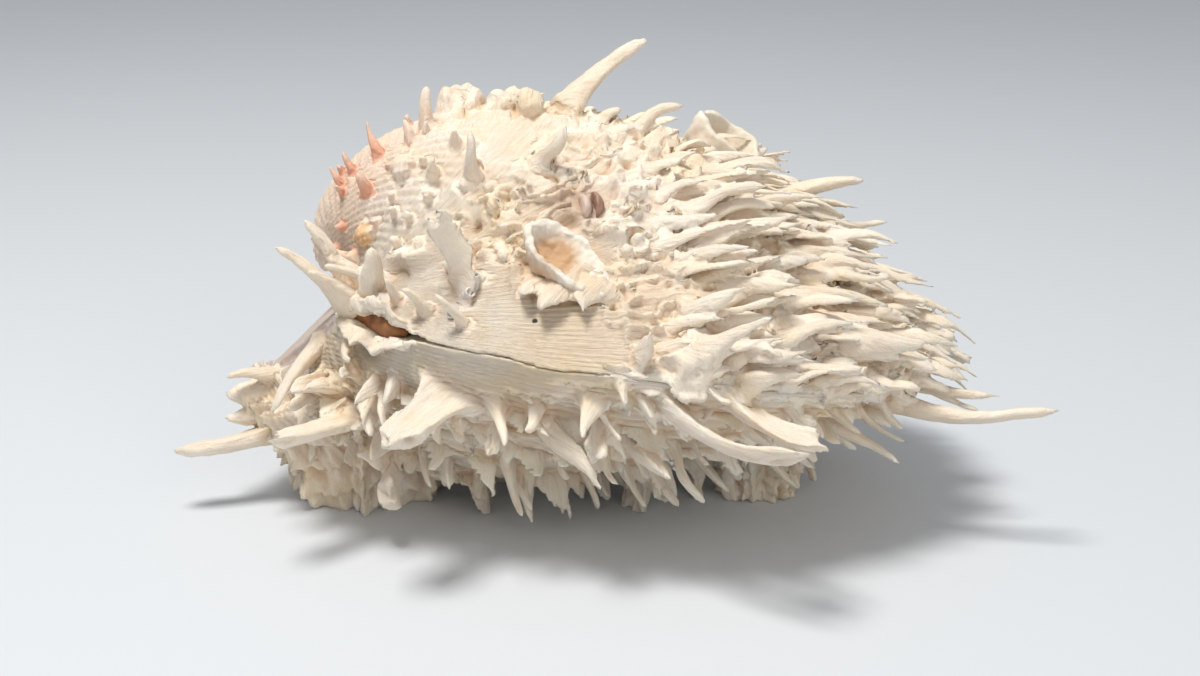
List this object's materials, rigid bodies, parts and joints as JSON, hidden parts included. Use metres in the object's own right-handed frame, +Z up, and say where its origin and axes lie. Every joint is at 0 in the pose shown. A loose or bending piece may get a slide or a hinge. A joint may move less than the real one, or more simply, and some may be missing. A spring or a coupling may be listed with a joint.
{
  "type": "spiny oyster shell",
  "caption": "Closed, dry spiny oyster shell resting on its cupped valve, covered in long curved spines and leaf-like blades, with small creatures' shells grown on it.",
  "frame": {"origin": "centre of the bounding box's underside, on the floor", "axes": "+Z up, +X from the hinge to the lip, -Y towards the front flank"},
  "size_m": [0.1599, 0.1127, 0.0837],
  "materials": {
    "lower_shell": "matte, chalky shell",
    "upper_shell": "matte, chalky shell, salmon pink at the beak",
    "ligament": "dried, slightly waxy",
    "spat": "matte rim, satin inside",
    "worm_tube": "matte, chalky",
    "nestler": "satin"
  },
  "bodies": {
    "root": {"lower_valve": "lower_shell", "upper_valve": "upper_shell", "hinge_ligament": "ligament", "spat_cup_middle": "spat", "spat_cup_far": "spat", "worm_tubes": "worm_tube", "nestler_left": "nestler", "nestler_right": "nestler"}
  },
  "joints": []
}
